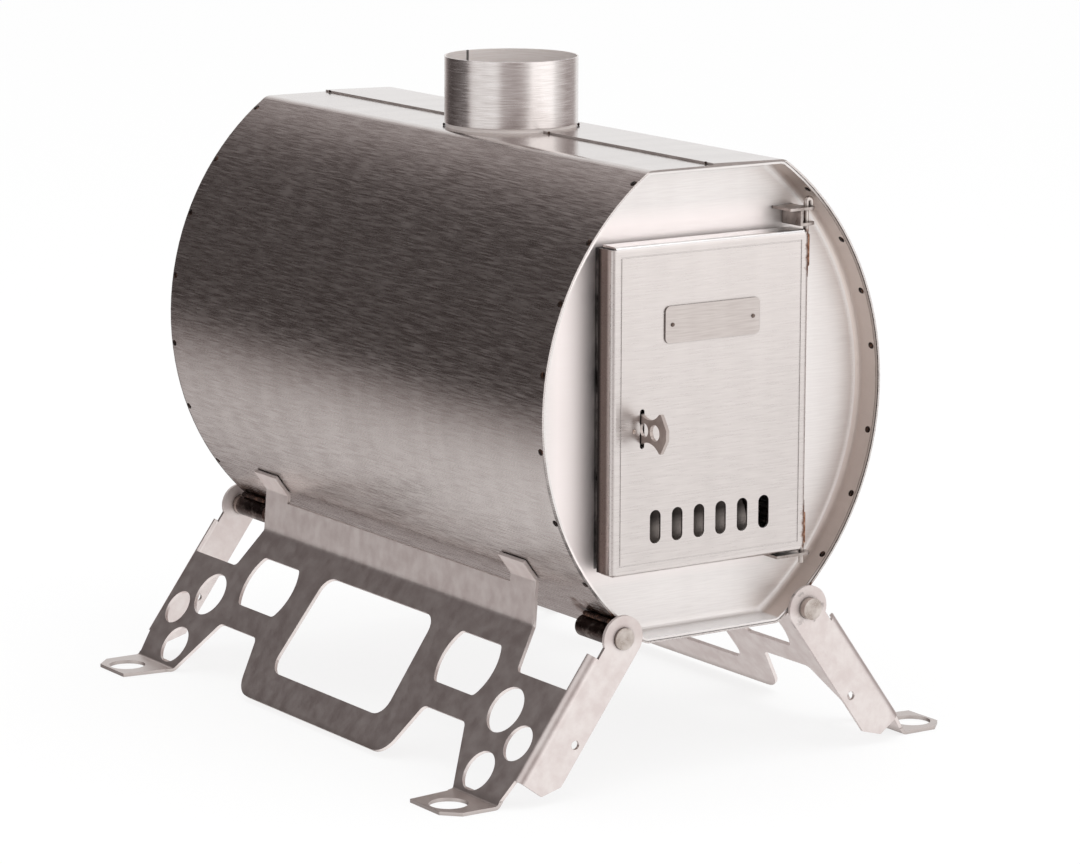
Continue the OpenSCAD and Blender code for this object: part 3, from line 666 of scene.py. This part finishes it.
# %% Finishes on the frame
finishes = {
    "body_shell": shell_steel,
    "front_plate": plate_steel, "rear_plate": plate_steel,
    "door_panel": door_steel,
    "flue_collar": collar_steel,
    "left_leg": leg_steel, "right_leg": leg_steel,
    "latch_handle": latch_steel, "latch_spring": latch_steel,
    "upper_bracket": bracket_steel, "lower_bracket": bracket_steel,
    "upper_rod": rod_steel, "lower_rod": rod_steel,
    "front_left_pin": bar_steel, "front_right_pin": bar_steel,
    "rear_left_pin": bar_steel, "rear_right_pin": bar_steel,
    "blank_plate": tag_steel, "plate_rivets": rivet_steel,
    "air_deflector": deflector_steel,
    "collar_welds": dark_weld, "seam_welds": dark_weld, "pin_welds": dark_weld, "rod_welds": rust_weld,
}
for name, node in nodes.items():
    node.data.materials.clear()
    node.data.materials.append(finishes[name])
print("pieces finished:", len(nodes), "finishes:", len(set(finishes.values())))

# %% [markdown]
# ## Spot welds
#
# Each end plate is spot-welded to the shell round its curved sides. A spot weld leaves a small dark
# nugget on both faces of the sheets: outside on the shell, and inside on the plate's flange. Such a mark
# could be painted, but a flat dome of geometry catches the light as the real one does. The angles are
# those that the photograph shows on the two sides, measured at the centre of each curved side.

# %% Spot welds
SIDE_RADIUS = 155 * MM
FLANGE_RADIUS = 152.6 * MM
SPOT_ANGLES = {1: (46, 31.8, 19.5, 7.4, -10.3, -24, -38.1), -1: (51.7, 36.7, 23.4, 9.1, -6, -21, -36)}
SPOT_SIZE = (2.3 * MM, 1.9 * MM, 0.4 * MM)
SPOT_IN = {SIDE_RADIUS: 2.6 * MM, FLANGE_RADIUS: 4 * MM}


def add_spot(shape, side, end, angle, radius):
    """A flat nugget on one face of the sheets, at an angle round the side's centre."""
    turn = math.radians(angle)
    shift = SIDE_RADIUS - (shell_high.x - shell_low.x) / 2
    place = Vector((side * (radius * math.cos(turn) - shift),
                    middle_y + end * (half_length - SPOT_IN[radius]),
                    axis_z + radius * math.sin(turn)))
    outwards = Vector((side * math.cos(turn), 0, math.sin(turn)))
    turned = Matrix((Vector((0, 1, 0)), outwards.cross((0, 1, 0)), outwards)).transposed().to_4x4()
    matrix = Matrix.Translation(place) @ turned @ Matrix.Diagonal((*SPOT_SIZE, 1))
    bmesh.ops.create_icosphere(shape, subdivisions=2, radius=1, matrix=matrix)


def finish_nuggets(name, shape, material, body):
    """Turns a bmesh of nuggets into a smooth piece that rides on a body."""
    mesh = bpy.data.meshes.new(name)
    shape.to_mesh(mesh)
    shape.free()
    for face in mesh.polygons:
        face.use_smooth = True
    mesh.materials.append(material)
    piece = bpy.data.objects.new(name, mesh)
    scene.collection.objects.link(piece)
    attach(piece, body)
    print(name, "faces:", len(mesh.polygons))


def make_spot_welds():
    shape = bmesh.new()
    for side, angles in SPOT_ANGLES.items():
        for angle in angles:
            for end in (-1, 1):
                add_spot(shape, side, end, angle, SIDE_RADIUS)
                add_spot(shape, side, end, angle, FLANGE_RADIUS)
    finish_nuggets("spot_welds", shape, burnt_spot, "root")


make_spot_welds()

# %% [markdown]
# ## The stop pip
#
# Left of the latch's slot the door has a small dome, taken here for a punched pip that stops the latch.
# It is rubbed and straw-coloured, and a flattened sphere does for it as for the nuggets.

# %% Stop pip
PIP_SIZE = (1.3 * MM, 1.3 * MM, 0.3 * MM)
PIP_X = -54 * MM
PIP_Z = axis_z - 10.6 * MM


def make_stop_pip():
    shape = bmesh.new()
    place = Matrix.Translation((PIP_X, door_low.y, PIP_Z))
    upright = Matrix.Rotation(math.radians(90), 4, "X")
    matrix = place @ upright @ Matrix.Diagonal((*PIP_SIZE, 1))
    bmesh.ops.create_icosphere(shape, subdivisions=3, radius=1, matrix=matrix)
    finish_nuggets("stop_pip", shape, straw_pip, "door")


make_stop_pip()

# %% [markdown]
# ## The painted surroundings
#
# Metal shows its surroundings more than its own colour. Cards and walls could stand round the stove, but
# a world painted by direction needs no shapes and is easy to tune. The collar is a good gauge for it,
# because it mirrors every direction once. Its bands give the brightness of the walls: bright in front,
# grey where the camera stands and at the right, pale at the left, and one dark panel behind the stove on
# the left, which darkens the curved side and the leg. The panel's far part is low, or the flat top would
# mirror it from the right. Below the walls comes the ground, darker towards the rear and darkest in the
# stove's shadow behind the right. Only mirrored rays see all this. Everything else sees plain white.

# %% World
# The walls' brightness, by the degrees from +X towards +Y.
WALLS = [(-180, 0.74), (-146, 0.74), (-138, 0.34), (-112, 0.34), (-90, 0.77), (-42, 0.77), (-14, 0.36),
         (12, 0.36), (26, 0.8), (72, 0.8), (88, 0.28), (98, 0.1), (108, 0.055), (156, 0.045), (164, 0.74),
         (180, 0.74)]
WALL_LIGHT = 1.25
WALL_FOOT = (-0.37, -0.14)
CEILING = (0.6, 0.85)
PANEL_SIDE = (math.radians(138), math.radians(150))
PANEL_STEP = (0.0, 0.2)
PANEL_TINT = linear("#ffe9e6")
GROUND_LEVELS = (1.25, 0.25)
GROUND_REAR = (0.74, 0.92)
SHADOW_SIDEWAYS = (-0.2, 0.1)
SHADOW_REAR = (0.5, 0.75)
SHADOW_DEPTH = 0.6
WHITE = linear("#ffffff")


def wall_levels(tree, x, y, z):
    """Brightness of the walls by direction."""
    turn = add(tree, "Math", (y, x), operation="ARCTAN2")
    levels = add(tree, "ValToRGB", (add(tree, "MapRange", (turn, -math.pi, math.pi, 0.0, 1.0)),))
    stops = [((angle + 180) / 360, (level, level, level, 1)) for angle, level in WALLS]
    set_stops(levels.node.color_ramp, stops)
    low = add(tree, "Math", (levels, WALL_LIGHT), operation="MULTIPLY")
    beside = add(tree, "MapRange", (turn, *PANEL_SIDE, 0.0, WALLS[0][1] * WALL_LIGHT))
    step = add(tree, "MapRange", (z, *PANEL_STEP, 0.0, 1.0))
    high = add(tree, "Math", (beside, step), operation="MULTIPLY")
    return add(tree, "Math", (low, high), operation="MAXIMUM")


def ground_levels(tree, x, y):
    """Brightness of the ground by direction."""
    lit = add(tree, "MapRange", (y, *GROUND_REAR, *GROUND_LEVELS))
    sideways = add(tree, "MapRange", (x, *SHADOW_SIDEWAYS, 0.0, SHADOW_DEPTH))
    behind = add(tree, "MapRange", (y, *SHADOW_REAR, 0.0, 1.0))
    shadow = add(tree, "Math", (sideways, behind), operation="MULTIPLY")
    left_over = add(tree, "Math", (1.0, shadow), operation="SUBTRACT")
    return add(tree, "Math", (lit, left_over), operation="MULTIPLY")


def make_world():
    world = bpy.data.worlds.new("studio")
    scene.world = world
    world.use_nodes = True
    tree = world.node_tree
    tree.nodes.clear()
    way = add(tree, "TexCoord", out="Generated")
    x, y, z = (add(tree, "SeparateXYZ", (way,), out=axis) for axis in "XYZ")
    above = add(tree, "MapRange", (z, *WALL_FOOT, 0.0, 1.0))
    lower = add(tree, "Mix", {0: above, 2: ground_levels(tree, x, y), 3: wall_levels(tree, x, y, z)})
    level = add(tree, "Mix", {0: add(tree, "MapRange", (z, *CEILING, 0.0, 1.0)), 2: lower, 3: 1.0})
    tint = add(tree, "Mix", {0: level, 6: PANEL_TINT, 7: WHITE}, out=2, data_type="RGBA")
    plain = add(tree, "Background", {"Color": WHITE, "Strength": 1.0})
    painted = add(tree, "Background", {"Color": tint, "Strength": level})
    mirrored = add(tree, "LightPath", out="Is Glossy Ray")
    add(tree, "OutputWorld", {"Surface": add(tree, "MixShader", (mirrored, plain, painted))})
    print("world nodes:", len(tree.nodes), "steps in the walls:", len(WALLS))


make_world()

# %% [markdown]
# ## The floor
#
# The floor is a sheet of white paper. More light would make it white and burn out the steel, so the
# camera sees it lifted to white instead, with only the stove's soft shadow left on it. Metal doesn't
# mirror it, because the painted ground takes its place.

# %% Floor
FLOOR_REACH = 12
PAPER = linear("#f8f8f8")
PAPER_LIFT = 0.8


def make_floor():
    mesh = bpy.data.meshes.new("floor")
    shape = bmesh.new()
    bmesh.ops.create_grid(shape, x_segments=1, y_segments=1, size=FLOOR_REACH)
    shape.to_mesh(mesh)
    shape.free()
    floor = bpy.data.objects.new("floor", mesh)
    scene.collection.objects.link(floor)
    material, tree = new_material("white_paper")
    paper = add(tree, "BsdfDiffuse", {"Color": PAPER})
    glow = add(tree, "Emission", {"Color": WHITE, "Strength": 1.0})
    camera_ray = add(tree, "LightPath", out="Is Camera Ray")
    seen = add(tree, "Math", (camera_ray, PAPER_LIFT), operation="MULTIPLY")
    add(tree, "OutputMaterial", {"Surface": add(tree, "MixShader", (seen, paper, glow))})
    mesh.materials.append(material)
    floor.visible_glossy = False
    print("floor reach:", FLOOR_REACH, "m")


make_floor()

# %% [markdown]
# ## Lamps
#
# The white world already lights the stove evenly. Two wide, weak lamps, one overhead and one in front,
# give the shadow on the floor its direction. Both aim at the middle of the stove.

# %% Lamps
LAMP_AIM = Vector((0, 0, 0.2))
LAMP_POWER = 9


def softbox(name, place, size):
    light = bpy.data.lights.new(name, "AREA")
    light.size = size
    light.energy = LAMP_POWER
    lamp = bpy.data.objects.new(name, light)
    lamp.location = place
    lamp.rotation_euler = (LAMP_AIM - Vector(place)).to_track_quat("-Z", "Y").to_euler()
    scene.collection.objects.link(lamp)
    print("lamp:", name, "width:", size, "m")


softbox("overhead", (0.3, -0.4, 2.2), 1.6)
softbox("front", (0.9, -2.2, 0.9), 2.2)
scene.view_settings.view_transform = "Standard"
